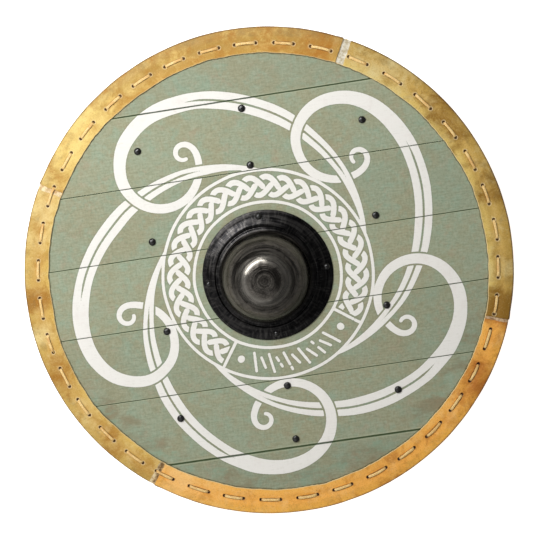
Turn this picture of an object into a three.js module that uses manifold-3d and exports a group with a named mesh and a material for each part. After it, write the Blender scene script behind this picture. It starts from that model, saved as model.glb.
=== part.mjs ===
// A round plank shield, lying on its back.
// Millimetres, +Z up and out of the shield's front, +X along the planks, +Y along the handle.
// z = 0 is the surface that the handle and the two battens lie on, and x = y = 0 is the middle.
import * as THREE from "three";
import { mergeVertices } from "three/addons/utils/BufferGeometryUtils.js";
import Module from "manifold-3d";

// Driving dimensions.
const SHIELD_RADIUS = 380;
const GAP = 0.3; // between pieces that touch
const CIRCLE_SIDES = 56; // of every circle as large as the shield

const PLANK_COUNT = 7;
const PLANK_WIDTH = 109.7;
const BOARD_SHIFT = -0.8; // the middle plank lies this far off the shield's middle
const BOARD_THICKNESS = 9;
const HAND_HOLE_RADIUS = 58;

const RAIL_THICKNESS = 14; // of the handle and the battens, so all three lie on one plane
const EDGE_SOFTENING = 2; // chamfer on the rails' long edges and on the rim's fold
const HANDLE_LENGTH = 630;
const HANDLE_WIDTH = 44; // beside the hand hole
const HANDLE_END_WIDTH = 28;
const GRIP_RADIUS = 14; // of the round grip across the hand hole
const BATTEN_LENGTH = 548;
const BATTEN_WIDTH = 36;
const BATTEN_X = 174;

const LEATHER_THICKNESS = 2;
const RIM_FRONT_WIDTH = 40;
const RIM_BACK_WIDTH = 36;
const RIM_JOINTS = [63.8, 149.5, 233, 341]; // degrees from +X towards +Y, where two strips meet

const STITCH_COUNT = 39;
const STITCH_PITCH = 360 / STITCH_COUNT; // degrees
const STITCH_FIRST = 1; // degrees, where the first front stitch begins
const STITCH_LENGTH = 5; // degrees, of the lace that shows in front
const STITCH_RADIUS = 356; // circle that the holes lie on
const LACE_WIDTH = 2.8;
const LACE_THICKNESS = 2.2;
const LACE_HOLE = 3.8; // side of a square hole

const FLANGE_RADIUS = 102;
const CREASE_RADIUS = 78; // groove hammered round the foot of the dome
const DOME_RADIUS = 67;
const WALL_TOP = 26; // where the upright wall turns into the dome
const DOME_TOP = 73;
const DOME_SHIFT = [-3, -1.5]; // the dome stands this far off the flange's centre
const IRON_THICKNESS = 2;
const BOSS_SIDES = 30;

const FACE_HEAD_RADIUS = 5.7;
const BOSS_HEAD_RADIUS = 5;
const HEAD_HEIGHT = 3.4;
const SHANK_SIDE = 3.2;
const SHANK_HOLE = 4;
const BOSS_NAIL_RADIUS = 92; // circle that the flange's nails lie on
const HANDLE_NAILS = [[-1, 259], [-1, 172], [4, -176], [4.5, -262]]; // driven by eye, so not in line
const LEFT_NAILS = [[-169, 218.5], [-169, 77.5], [-169, -64], [-169.5, -203.5]];
const RIGHT_NAILS = [[178, 214], [178, 67], [175, -73.5], [174, -207.5]];
const CLENCH_LENGTH = 11; // of the nail tips that are bent over behind the board

// Levels.
const BOARD_BACK = RAIL_THICKNESS + GAP;
const BOARD_FRONT = BOARD_BACK + BOARD_THICKNESS;
const BOARD_RADIUS = SHIELD_RADIUS - LEATHER_THICKNESS - GAP;
const RIM_FRONT = BOARD_FRONT + GAP + LEATHER_THICKNESS;
const RIM_BACK = BOARD_BACK - GAP - LEATHER_THICKNESS;
const BOSS_FOOT = BOARD_FRONT + GAP;
const FILED_TIP = 0.5; // where the nails through the handle and battens end
const CLENCH_LOW = BOARD_BACK - GAP - 2; // underside of the nail tips that are bent over

const MATERIALS = {
  paintedWood: material(0x99a37f, 0.8, 0),
  bareWood: material(0xa98157, 0.75, 0),
  oliveLeather: material(0xb29353, 0.6, 0),
  goldLeather: material(0xcda661, 0.6, 0),
  orangeLeather: material(0xd9984c, 0.55, 0),
  lace: material(0xdcc9a2, 0.7, 0),
  iron: material(0x45423f, 0.4, 0.9),
  blackIron: material(0x1d1c1c, 0.45, 0.8),
};

const wasm = await Module();
wasm.setup();

const shield = new THREE.Group();

// Helpers.

function material(color, roughness, metalness) {
  return new THREE.MeshStandardMaterial({ color, roughness, metalness });
}

function polar(radius, degrees) {
  const angle = THREE.MathUtils.degToRad(degrees);
  return [radius * Math.cos(angle), radius * Math.sin(angle)];
}

// A closed geometry as a manifold-3d solid, without the empty triangles that a lathe leaves on its axis.
function solid(geometry) {
  geometry.deleteAttribute("normal");
  geometry.deleteAttribute("uv");
  const merged = mergeVertices(geometry, 1e-4);
  const kept = [];
  for (let i = 0; i < merged.index.count; i += 3) {
    const [a, b, c] = merged.index.array.slice(i, i + 3);
    if (a !== b && b !== c && c !== a) kept.push(a, b, c);
  }
  return new wasm.Manifold(
    new wasm.Mesh({
      numProp: 3,
      vertProperties: new Float32Array(merged.attributes.position.array),
      triVerts: new Uint32Array(kept),
    }),
  );
}

function addPiece(name, shape, look) {
  const mesh = shape.getMesh();
  const geometry = new THREE.BufferGeometry();
  geometry.setAttribute("position", new THREE.BufferAttribute(mesh.vertProperties, 3));
  geometry.setIndex(new THREE.BufferAttribute(mesh.triVerts, 1));
  geometry.computeVertexNormals();
  const piece = new THREE.Mesh(geometry, look);
  piece.name = name;
  shield.add(piece);
}

function join(shapes) {
  return shapes.reduce((whole, shape) => whole.add(shape));
}

// A block between two corners.
function block(low, high) {
  const size = high.map((value, axis) => value - low[axis]);
  const middle = high.map((value, axis) => (value + low[axis]) / 2);
  return solid(new THREE.BoxGeometry(...size).translate(...middle));
}

function disc(radius, low, high, sides) {
  const geometry = new THREE.CylinderGeometry(radius, radius, high - low, sides);
  return solid(geometry.rotateX(Math.PI / 2).translate(0, 0, (low + high) / 2));
}

// A closed outline turned about the Z axis: points are [radius, z].
function turned(points, sides) {
  const profile = points.map(([radius, z]) => new THREE.Vector2(radius, z));
  return solid(new THREE.LatheGeometry(profile, sides).rotateX(Math.PI / 2));
}

// A square peg or hole along Z, turned to face the shield's middle.
function peg(side, x, y, low, high) {
  const geometry = new THREE.BoxGeometry(side, side, high - low);
  return solid(geometry.rotateZ(Math.atan2(y, x)).translate(x, y, (low + high) / 2));
}

// Where the nails go: through the flange, the handle and the battens.

function bossNailPlaces() {
  return [0, 90, 180, 270].map((degrees) => polar(BOSS_NAIL_RADIUS, degrees));
}

function faceNailPlaces() {
  return [...HANDLE_NAILS, ...LEFT_NAILS, ...RIGHT_NAILS];
}

function nailHoles() {
  const places = [...bossNailPlaces(), ...faceNailPlaces()];
  const top = BOARD_FRONT + DOME_TOP;
  return join(places.map(([x, y]) => peg(SHANK_HOLE, x, y, -1, top)));
}

// A front stitch, as the angles of its two holes and the radius that they lie on.
// Hand stitching wanders a little in spacing, in length and in distance from the edge.
function stitch(index) {
  const wander = -0.5 * Math.cos(0.16 * index - 0.3) - 0.45 * Math.sin(0.54 * index + 0.3);
  const start = STITCH_FIRST + index * STITCH_PITCH + wander;
  const end = start + STITCH_LENGTH + 0.2 * Math.sin(3.7 * index);
  return { start, end, radius: STITCH_RADIUS + 1.5 * Math.sin(0.24 * index + 2.6) };
}

function stitches() {
  return Array.from({ length: STITCH_COUNT }, (_, index) => stitch(index));
}

function laceHoles() {
  const places = stitches().flatMap(({ start, end, radius }) => [
    polar(radius, start),
    polar(radius, end),
  ]);
  return join(places.map(([x, y]) => peg(LACE_HOLE, x, y, RIM_BACK - 1, RIM_FRONT + 1)));
}

// The board: seven planks edge to edge, with a hand hole that parts the middle one in two.
function addBoard() {
  const round = disc(BOARD_RADIUS, BOARD_BACK, BOARD_FRONT, CIRCLE_SIDES);
  const handHole = disc(HAND_HOLE_RADIUS, BOARD_BACK - 1, BOARD_FRONT + 1, CIRCLE_SIDES / 2);
  const board = round.subtract(handHole).subtract(laceHoles()).subtract(nailHoles());
  const middle = (PLANK_COUNT + 1) / 2;
  for (let number = 1; number <= PLANK_COUNT; number++) {
    const centre = (number - middle) * PLANK_WIDTH + BOARD_SHIFT;
    const low = centre - PLANK_WIDTH / 2 + GAP / 2;
    const high = centre + PLANK_WIDTH / 2 - GAP / 2;
    if (number === middle) {
      addPlank("plank_4_left", board, [-SHIELD_RADIUS, low], [0, high]);
      addPlank("plank_4_right", board, [0, low], [SHIELD_RADIUS, high]);
    } else {
      addPlank(`plank_${number}`, board, [-SHIELD_RADIUS, low], [SHIELD_RADIUS, high]);
    }
  }
}

function addPlank(name, board, low, high) {
  const slice = block([...low, BOARD_BACK - 1], [...high, BOARD_FRONT + 1]);
  addPiece(name, board.intersect(slice), MATERIALS.paintedWood);
}

// Behind the board: the handle across the planks, and a batten on each side of it.
function addRails() {
  const holes = nailHoles();
  addPiece("handle", handleShape().subtract(holes), MATERIALS.bareWood);
  for (const [name, x] of [["batten_left", -BATTEN_X], ["batten_right", BATTEN_X]]) {
    addPiece(name, battenShape(x).subtract(holes), MATERIALS.bareWood);
  }
}

// A flat bar with EDGE_SOFTENING edges, from an outline of [x, y] points.
function bar(outline) {
  const shape = new THREE.Shape(outline.map(([x, y]) => new THREE.Vector2(x, y)));
  const geometry = new THREE.ExtrudeGeometry(shape, {
    depth: RAIL_THICKNESS - 2 * EDGE_SOFTENING,
    bevelEnabled: true,
    bevelThickness: EDGE_SOFTENING,
    bevelSize: EDGE_SOFTENING,
    bevelOffset: -EDGE_SOFTENING,
    bevelSegments: 1,
  });
  return solid(geometry.translate(0, 0, EDGE_SOFTENING));
}

function battenShape(x) {
  const halfWidth = BATTEN_WIDTH / 2;
  const halfLength = BATTEN_LENGTH / 2;
  const endWidth = halfWidth * 0.6; // the corners are cut off towards the rim
  const shoulder = halfLength - halfWidth;
  return bar([
    [x - endWidth, -halfLength],
    [x + endWidth, -halfLength],
    [x + halfWidth, -shoulder],
    [x + halfWidth, shoulder],
    [x + endWidth, halfLength],
    [x - endWidth, halfLength],
    [x - halfWidth, shoulder],
    [x - halfWidth, -shoulder],
  ]);
}

// The handle tapers to its ends, and swells into a round grip across the hand hole.
function handleShape() {
  const halfLength = HANDLE_LENGTH / 2;
  const shoulder = HAND_HOLE_RADIUS + 4; // the bar is widest here, just outside the hole
  const neck = HAND_HOLE_RADIUS - 16; // and as narrow as the grip from here in
  const neckWidth = 2 * GRIP_RADIUS - 4;
  const right = [
    [HANDLE_END_WIDTH / 2, -halfLength],
    [HANDLE_WIDTH / 2, -shoulder],
    [neckWidth / 2, -neck],
    [neckWidth / 2, neck],
    [HANDLE_WIDTH / 2, shoulder],
    [HANDLE_END_WIDTH / 2, halfLength],
  ];
  const left = right.map(([x, y]) => [-x, -y]);
  return bar([...right, ...left]).add(gripShape());
}

// A barrel along Y. Its profile is in shares of its radius and of half its length.
function gripShape() {
  const halfLength = HAND_HOLE_RADIUS - 5;
  const lift = 0.5; // the swelling clears the surface that the bar lies on
  const swell = [
    [0, -1],
    [0.72, -1],
    [0.88, -0.7],
    [1, -0.2],
    [1, 0.2],
    [0.88, 0.7],
    [0.72, 1],
    [0, 1],
  ];
  const profile = swell.map(([r, y]) => new THREE.Vector2(r * GRIP_RADIUS, y * halfLength));
  return solid(new THREE.LatheGeometry(profile, 10).translate(0, 0, GRIP_RADIUS + lift));
}

// The rim: leather strips folded over the board's edge, each from one joint to the next.
function addRim() {
  const outer = SHIELD_RADIUS;
  const ring = turned(
    [
      [outer - RIM_FRONT_WIDTH, RIM_FRONT - LEATHER_THICKNESS],
      [outer - LEATHER_THICKNESS, RIM_FRONT - LEATHER_THICKNESS],
      [outer - LEATHER_THICKNESS, RIM_BACK + LEATHER_THICKNESS],
      [outer - RIM_BACK_WIDTH, RIM_BACK + LEATHER_THICKNESS],
      [outer - RIM_BACK_WIDTH, RIM_BACK],
      [outer - EDGE_SOFTENING, RIM_BACK],
      [outer, RIM_BACK + EDGE_SOFTENING],
      [outer, RIM_FRONT - EDGE_SOFTENING],
      [outer - EDGE_SOFTENING, RIM_FRONT],
      [outer - RIM_FRONT_WIDTH, RIM_FRONT],
      [outer - RIM_FRONT_WIDTH, RIM_FRONT - LEATHER_THICKNESS],
    ],
    CIRCLE_SIDES,
  );
  const laced = ring.subtract(laceHoles());
  const { goldLeather, orangeLeather, oliveLeather } = MATERIALS;
  const looks = [goldLeather, goldLeather, orangeLeather, oliveLeather];
  const joints = [...RIM_JOINTS, RIM_JOINTS[0] + 360];
  looks.forEach((look, index) => {
    const slice = sector(joints[index], joints[index + 1]);
    addPiece(`rim_strip_${index + 1}`, laced.intersect(slice), look);
  });
}

// A slice of the whole shield between two angles, a gap short of both.
function sector(start, end) {
  const reach = SHIELD_RADIUS * 1.5;
  const slack = THREE.MathUtils.radToDeg(GAP / 2 / SHIELD_RADIUS);
  const middle = (start + end) / 2;
  const corners = [start + slack, middle, end - slack].map((degrees) => polar(reach, degrees));
  const shape = new THREE.Shape([[0, 0], ...corners].map(([x, y]) => new THREE.Vector2(x, y)));
  const geometry = new THREE.ExtrudeGeometry(shape, { depth: 2 * RIM_FRONT, bevelEnabled: false });
  return solid(geometry.translate(0, 0, -RIM_FRONT / 2));
}

// The lacing's route: straight runs with mitred square corners, in front and behind by turns.
class LaceRoute extends THREE.Curve {
  constructor(corners) {
    super();
    this.corners = corners;
  }

  corner(u) {
    return Math.round(u * (this.corners.length - 1));
  }

  getPointAt(u) {
    return this.corners[this.corner(u)].clone();
  }

  // Halfway between the run that comes in and the run that goes out.
  getTangentAt(u) {
    const here = this.corner(u);
    const last = this.corners.length - 1;
    const run = (from) => this.corners[from + 1].clone().sub(this.corners[from]).normalize();
    const before = run(Math.max(here - 1, 0));
    const after = run(Math.min(here, last - 1));
    return before.add(after).normalize();
  }

  // The lace keeps one side towards the shield's middle, so it doesn't twist.
  computeFrenetFrames(steps) {
    const frames = { tangents: [], normals: [], binormals: [] };
    for (let step = 0; step <= steps; step++) {
      const tangent = this.getTangentAt(step / steps);
      const point = this.getPointAt(step / steps);
      const across = tangent.clone().cross(new THREE.Vector3(-point.x, -point.y, 0)).normalize();
      frames.tangents.push(tangent);
      frames.normals.push(across.clone().cross(tangent).normalize());
      frames.binormals.push(across);
    }
    return frames;
  }
}

// One lace runs all the way round, and its two ends are knotted behind.
function addLacing() {
  const front = RIM_FRONT + GAP + LACE_THICKNESS / 2;
  const back = RIM_BACK - GAP - LACE_THICKNESS / 2;
  const all = stitches();
  const knotAngle = (all[0].start + all[STITCH_COUNT - 1].end - 360) / 2;
  const knotDrop = 1.7; // the knot is thicker than the lace, and hangs this far below it
  const knot = new THREE.Vector3(...polar(STITCH_RADIUS, knotAngle), back - knotDrop);
  const corners = all.flatMap(({ start, end, radius }) => [
    new THREE.Vector3(...polar(radius, start), back),
    new THREE.Vector3(...polar(radius, start), front),
    new THREE.Vector3(...polar(radius, end), front),
    new THREE.Vector3(...polar(radius, end), back),
  ]);
  const route = new LaceRoute([knot, ...corners, knot]);
  const halfWidth = LACE_WIDTH / 2;
  const halfMitre = (LACE_THICKNESS / 2) * Math.SQRT2;
  const section = new THREE.Shape([
    new THREE.Vector2(-halfWidth, -halfMitre),
    new THREE.Vector2(halfWidth, -halfMitre),
    new THREE.Vector2(halfWidth, halfMitre),
    new THREE.Vector2(-halfWidth, halfMitre),
  ]);
  const lace = solid(
    new THREE.ExtrudeGeometry(section, {
      steps: route.corners.length - 1,
      extrudePath: route,
    }),
  );
  addPiece("lacing", lace.add(knotShape(knot, knotAngle)), MATERIALS.lace);
}

// A flat knot with two short tails.
function knotShape(middle, degrees) {
  const turn = THREE.MathUtils.degToRad(degrees);
  const lump = new THREE.IcosahedronGeometry(5).scale(0.8, 1.1, 0.55);
  const tails = [-1, 1].map((side) => {
    const tail = new THREE.BoxGeometry(18, LACE_WIDTH, LACE_THICKNESS);
    return tail.translate(-10, 0, 0).rotateZ(side * 0.35);
  });
  const placed = [lump, ...tails].map((geometry) => geometry.rotateZ(turn).translate(...middle));
  return join(placed.map(solid));
}

// The boss: one sheet of iron, raised into a wall and a dome inside a flat flange.
function addBoss() {
  const outer = [...flangeProfile(), ...domeProfile()];
  const inner = offset([outer[0], ...domeProfile()], IRON_THICKNESS).reverse();
  const whole = turned([...outer, ...inner, outer[0]], BOSS_SIDES);
  addPiece("boss", shifted(whole).subtract(nailHoles()), MATERIALS.iron);
}

// The flange's outer face, from its edge in over a low crest to the groove, as [radius, z].
function flangeProfile() {
  const foot = BOSS_FOOT + IRON_THICKNESS;
  return [
    [FLANGE_RADIUS, foot],
    [BOSS_NAIL_RADIUS - BOSS_HEAD_RADIUS, foot + 1],
    [CREASE_RADIUS + 3, foot + 3],
    [CREASE_RADIUS, foot + 1.8],
  ];
}

// From the groove up a fillet and an upright wall, and over the dome to its top.
function domeProfile() {
  const foot = BOSS_FOOT + IRON_THICKNESS;
  const wallTop = BOSS_FOOT + WALL_TOP;
  const rise = BOARD_FRONT + DOME_TOP - wallTop;
  const steps = 6;
  const dome = Array.from({ length: steps }, (_, step) => {
    const angle = ((Math.PI / 2) * step) / steps;
    return [DOME_RADIUS * Math.cos(angle), wallTop + rise * Math.sin(angle)];
  });
  return [
    [DOME_RADIUS + 5, foot + 3.5],
    [DOME_RADIUS + 1, foot + 9],
    ...dome,
    [0, wallTop + rise],
  ];
}

// A profile moved inwards by a distance, square to itself. Its last point stays on the axis.
function offset(points, distance) {
  return points.map(([radius, z], index) => {
    const [r0, z0] = points[Math.max(index - 1, 0)];
    const [r1, z1] = points[Math.min(index + 1, points.length - 1)];
    if (index === points.length - 1) return [0, z - distance];
    if (index === 0) return [radius, z - distance];
    const length = Math.hypot(r1 - r0, z1 - z0);
    return [radius - (distance * (z1 - z0)) / length, z + (distance * (r1 - r0)) / length];
  });
}

// The dome stands a little off the flange's centre: all inside the crease moves, and the edge stays.
function shifted(shape) {
  return shape.warp((vertex) => {
    const radius = Math.hypot(vertex[0], vertex[1]);
    const share = 1 - THREE.MathUtils.smoothstep(radius, CREASE_RADIUS, FLANGE_RADIUS);
    vertex[0] += DOME_SHIFT[0] * share;
    vertex[1] += DOME_SHIFT[1] * share;
  });
}

// Nails: a domed head and a square shank, filed off behind a rail or clenched behind the board.
function addNails() {
  const flangeTop = BOSS_FOOT + IRON_THICKNESS + 1.9; // clear of the flange's slope under the heads
  bossNailPlaces().forEach(([x, y], index) => {
    const throughHandle = Math.abs(y) > Math.abs(x);
    const tip = throughHandle ? FILED_TIP : CLENCH_LOW;
    const nail = nailShape(x, y, flangeTop, BOSS_HEAD_RADIUS, tip);
    const whole = throughHandle ? nail : nail.add(clench(x, y));
    addPiece(`boss_nail_${index + 1}`, whole, MATERIALS.blackIron);
  });
  faceNailPlaces().forEach(([x, y], index) => {
    const nail = nailShape(x, y, BOARD_FRONT + GAP, FACE_HEAD_RADIUS, FILED_TIP);
    addPiece(`face_nail_${index + 1}`, nail, MATERIALS.blackIron);
  });
}

function nailShape(x, y, seat, headRadius, tip) {
  const head = turned(
    [
      [0, 0],
      [headRadius, 0],
      [headRadius * 0.62, HEAD_HEIGHT * 0.72],
      [0, HEAD_HEIGHT],
    ],
    8,
  );
  return head.translate(x, y, seat).add(peg(SHANK_SIDE, x, y, tip, seat + 1));
}

// The tip of a nail, bent outwards flat behind the board.
function clench(x, y) {
  const reach = Math.sign(x) * CLENCH_LENGTH;
  return block(
    [Math.min(x, x + reach), y - SHANK_SIDE / 2, CLENCH_LOW],
    [Math.max(x, x + reach), y + SHANK_SIDE / 2, BOARD_BACK - GAP],
  );
}

addBoard();
addRails();
addRim();
addLacing();
addBoss();
addNails();

export default shield;
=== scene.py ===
"""A wooden round shield lying on its back, seen from above: the looks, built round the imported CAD.

Lengths are in millimetres and angles in degrees until a mesh is made, which is in metres.
+X runs along the planks, +Y along the handle, and +Z points out of the shield's front.
"""

import math

import bmesh
import bpy
import numpy as np
from mathutils import Matrix, Vector


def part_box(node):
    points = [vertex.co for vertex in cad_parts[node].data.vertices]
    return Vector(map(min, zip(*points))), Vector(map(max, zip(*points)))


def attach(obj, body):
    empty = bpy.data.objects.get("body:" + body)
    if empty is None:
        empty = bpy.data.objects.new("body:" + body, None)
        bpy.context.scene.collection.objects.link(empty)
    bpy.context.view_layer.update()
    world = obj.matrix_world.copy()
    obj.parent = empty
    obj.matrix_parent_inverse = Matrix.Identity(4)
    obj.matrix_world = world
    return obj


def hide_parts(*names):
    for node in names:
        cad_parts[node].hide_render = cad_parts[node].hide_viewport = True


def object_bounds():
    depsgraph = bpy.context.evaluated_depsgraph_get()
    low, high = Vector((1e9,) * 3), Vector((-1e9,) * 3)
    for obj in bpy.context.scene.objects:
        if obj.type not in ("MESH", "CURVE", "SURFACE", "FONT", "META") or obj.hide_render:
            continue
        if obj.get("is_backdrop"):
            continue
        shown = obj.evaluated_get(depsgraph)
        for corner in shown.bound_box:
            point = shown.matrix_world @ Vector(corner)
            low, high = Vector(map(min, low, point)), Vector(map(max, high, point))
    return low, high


MM = 0.001
SEED = 11

# The construction, as the CAD has it.
PLANK_COUNT = 7
MIDDLE_PLANK = 4
HAND_HOLE_RADIUS = 58
STITCH_COUNT = 39
STITCH_FIRST = 1
STITCH_LENGTH = 5
STITCH_RADIUS = 356
LACE_WIDTH = 3.9  # pressed flat, so wider than the CAD's
LACE_THICKNESS = 2.2
LACE_GAP = 0.3  # between the lace and the leather
LEATHER = 2
RIM_FRONT_WIDTH = 40
RIM_BACK_WIDTH = 36
CREASE_RADIUS = 78
DOME_RADIUS = 67
WALL_TOP = 26
DOME_SHIFT = (-3, -1.5)
IRON = 2
GRIP_RADIUS = 14
NAIL_SHANK = 3.2

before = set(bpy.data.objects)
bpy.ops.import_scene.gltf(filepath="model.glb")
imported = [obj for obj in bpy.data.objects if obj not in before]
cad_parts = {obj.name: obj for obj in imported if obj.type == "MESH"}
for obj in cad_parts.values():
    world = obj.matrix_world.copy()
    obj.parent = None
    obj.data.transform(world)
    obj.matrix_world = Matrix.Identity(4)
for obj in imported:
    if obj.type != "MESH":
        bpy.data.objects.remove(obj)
cad_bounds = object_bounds()


def corners(*nodes):
    """The lowest and highest corner of some CAD nodes together, in millimetres."""
    boxes = [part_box(node) for node in nodes]
    low = np.min([np.array(box[0]) for box in boxes], axis=0) / MM
    high = np.max([np.array(box[1]) for box in boxes], axis=0) / MM
    return low, high


rim_low, rim_high = corners(*[f"rim_strip_{number}" for number in range(1, 5)])
plank_low, plank_high = corners("plank_4_left")
batten_low, batten_high = corners("batten_left")
SHIELD_RADIUS = rim_high[0]
RIM_BACK, RIM_FRONT = rim_low[2], rim_high[2]
BOARD_BACK, BOARD_FRONT = plank_low[2], plank_high[2]
RAIL = batten_high[2] - batten_low[2]  # how thick the battens and the handle's ends are


# Numbers that vary smoothly.

SCATTER = (73856093, 19349663, 83492791, 1274126177)  # large numbers that mix up a place and a seed


def smooth(low, high, value):
    """0 below low and 1 above high, with a soft step between them."""
    share = np.clip((np.asarray(value, float) - low) / (high - low), 0, 1)
    return share * share * (3 - 2 * share)


def lumps(x, y, size, seed):
    """Smooth random values from -1 to 1 over a plane, with lumps about size across."""
    u, v = np.broadcast_arrays(np.asarray(x, float) / size, np.asarray(y, float) / size)
    column, row = np.floor(u).astype(np.int64), np.floor(v).astype(np.int64)
    fu, fv = u - column, v - row
    fu, fv = fu * fu * (3 - 2 * fu), fv * fv * (3 - 2 * fv)

    def corner(right, up):
        mixed = (column + right) * SCATTER[0] ^ (row + up) * SCATTER[1] ^ (seed + SEED) * SCATTER[2]
        mixed = (mixed ^ (mixed >> 13)) * SCATTER[3]
        return ((mixed ^ (mixed >> 16)) & 0xFFFF) / 32767.5 - 1

    low = corner(0, 0) * (1 - fu) + corner(1, 0) * fu
    high = corner(0, 1) * (1 - fu) + corner(1, 1) * fu
    return low * (1 - fv) + high * fv


def across_and_up(radius, degrees):
    """The x and the y of points at a radius and an angle."""
    angle = np.radians(degrees)
    return radius * np.cos(angle), radius * np.sin(angle)


def polar(radius, degrees):
    """The same points as rows of [x, y]."""
    return np.stack(across_and_up(radius, degrees), -1)


def smooth_curve(points, steps):
    """A smooth line through some points, with a number of steps from each to the next."""
    points = np.asarray(points, float)
    before = np.vstack([2 * points[0] - points[1], points[:-1]])
    after = np.vstack([points[1:], 2 * points[-1] - points[-2]])
    slope = (after - before) / 2
    share = (np.arange(steps) / steps)[None, :, None]
    start, end = points[:-1, None], points[1:, None]
    line = (
        start * (2 * share**3 - 3 * share**2 + 1)
        + slope[:-1, None] * (share**3 - 2 * share**2 + share)
        + end * (3 * share**2 - 2 * share**3)
        + slope[1:, None] * (share**3 - share**2)
    )
    return np.vstack([line.reshape(-1, points.shape[1]), points[-1:]])


# Meshes.


def grid_faces(rows, columns, closed=False, first=0):
    """The quads of a grid of points that is stored row by row."""
    row = np.arange(rows - 1)[:, None] * columns
    here = np.arange(columns if closed else columns - 1)[None]
    right = (here + 1) % columns
    quads = [row + here, row + right, row + columns + right, row + columns + here]
    return (first + np.stack(quads, -1).reshape(-1, 4)).tolist()


def wall(ring, other):
    """Quads between two closed rings of points."""
    return np.stack([ring, np.roll(ring, -1), np.roll(other, -1), other], 1).tolist()


def fan(ring, tip):
    """Triangles from a closed ring of points to a tip."""
    return np.stack([ring, np.roll(ring, -1), np.full(len(ring), tip)], 1).tolist()


def ring_faces(tube):
    """Quads of a closed tube with a cap at both ends: tube holds the points' numbers, ring by ring."""
    after = np.roll(np.arange(tube.shape[1]), -1)
    near, far = tube[:-1], tube[1:]
    quads = np.stack([near, far, far[:, after], near[:, after]], -1).reshape(-1, 4).tolist()
    return quads + [tube[0].tolist(), tube[-1][::-1].tolist()]


def merged(points, faces, more_points, more_faces):
    """Two sets of points and faces as one."""
    moved = [[len(points) + corner for corner in face] for face in more_faces]
    return np.vstack([points, more_points]), faces + moved


def make_piece(name, nodes, material, points, faces, attributes=(), crease=40):
    """One piece of the shield, in place of its CAD nodes. Attributes hold a value per point by name."""
    mesh = bpy.data.meshes.new(name)
    mesh.from_pydata((np.asarray(points, float) * MM).tolist(), [], faces)
    for label, values in dict(attributes).items():
        layer = mesh.attributes.new(label, "FLOAT", "POINT")
        layer.data.foreach_set("value", np.asarray(values, np.float32).ravel())
    shape = bmesh.new()
    shape.from_mesh(mesh)
    bmesh.ops.recalc_face_normals(shape, faces=shape.faces)
    shape.to_mesh(mesh)
    shape.free()
    mesh.polygons.foreach_set("use_smooth", np.ones(len(mesh.polygons), bool))
    mesh.set_sharp_from_angle(angle=math.radians(crease))
    mesh.materials.append(material)
    piece = bpy.data.objects.new(name, mesh)
    bpy.context.scene.collection.objects.link(piece)
    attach(piece, "root")
    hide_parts(*nodes)
    return piece


# The painted ornament: bands that pass over and under each other in turn.

BAND_STEP = 1.0  # between the points of a band's middle line
PASSING_GAP = 2.6  # bare line left beside the band that passes over
PASSING_REACH = 60  # points of that band, to each side of the crossing, that leave it
PAINT_REACH = 6.0  # the distance from a painted edge is kept up to here
GROOVE_TAPER = 45  # points over which a groove opens from nothing


class Band:
    """A painted band along a line. Width is one number, or (share of the length, width) pairs.

    Groove is (first point, last point, width) of a bare line that runs along its middle.
    """

    def __init__(self, points, width, groove=None):
        self.points = points
        along = np.linspace(0, 1, len(points))
        widths = [(0, width)] if np.isscalar(width) else width
        self.half = np.interp(along, *zip(*widths)) / 2
        self.groove = groove


def arc(radius, start, end):
    count = max(int(abs(math.radians(end - start)) * radius / BAND_STEP), 2)
    return polar(radius, np.linspace(start, end, count + 1))


def scroll(start, heading, bends):
    """A line whose curvature changes evenly. Bends are (length, curvature at its end) pairs."""
    lengths = np.cumsum([length for length, _ in bends])
    travelled = np.arange(0, lengths[-1], BAND_STEP)
    curvature = np.interp(travelled, lengths, [bend for _, bend in bends])
    headings = math.radians(heading) + np.cumsum(curvature) * BAND_STEP
    steps = np.stack([np.cos(headings), np.sin(headings)], 1) * BAND_STEP
    return np.asarray(start) + np.cumsum(steps, 0)


def plait(radius, swing, periods, start, end):
    """Three strands that swing across a circle in turn."""
    count = int(math.radians(end - start) * radius * 1.25 / BAND_STEP)
    share = np.linspace(0, 1, count)
    angle = start + (end - start) * share
    phases = [2 * math.pi * (periods * share + strand / 3) for strand in range(3)]
    return [polar(radius + swing * np.sin(phase), angle) for phase in phases]


def crossings(bands):
    """Every place where two middle lines cross, as ((band, point), (band, point))."""
    found = []
    for i, one in enumerate(bands):
        for j in range(i, len(bands)):
            p, q = one.points, bands[j].points
            dp, dq = np.diff(p, axis=0), np.diff(q, axis=0)
            apart = q[None, :-1] - p[:-1, None]
            turn = dp[:, None, 0] * dq[None, :, 1] - dp[:, None, 1] * dq[None, :, 0]
            turn[turn == 0] = np.inf
            t = (apart[..., 0] * dq[None, :, 1] - apart[..., 1] * dq[None, :, 0]) / turn
            u = (apart[..., 0] * dp[:, None, 1] - apart[..., 1] * dp[:, None, 0]) / turn
            for m, n in np.argwhere((t >= 0) & (t < 1) & (u >= 0) & (u < 1)):
                if i != j or n - m > 8:
                    found.append(((i, int(m)), (j, int(n))))
    return found


def spans(bands):
    """Each band cut between its crossings, as (band, first, last, what passes over it there)."""
    found = crossings(bands)
    stops = sorted((*end, c, side) for c, pair in enumerate(found) for side, end in enumerate(pair))
    upper, was_over = {}, {}
    for strand, _, c, side in stops:
        upper.setdefault(c, 1 - side if was_over.get(strand) else side)
        was_over[strand] = upper[c] == side
    cut = []
    for k, band in enumerate(bands):
        mine = [(at, c, side) for strand, at, c, side in stops if strand == k]
        ends = [0] + [(a[0] + b[0]) // 2 for a, b in zip(mine, mine[1:])] + [len(band.points) - 1]
        for first, last, (_, c, side) in zip(ends, ends[1:], mine):
            cut.append((band, first, last + 1, found[c][1 - side] if upper[c] != side else None))
        if not mine:
            cut.append((band, 0, len(band.points), None))
    return cut


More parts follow.
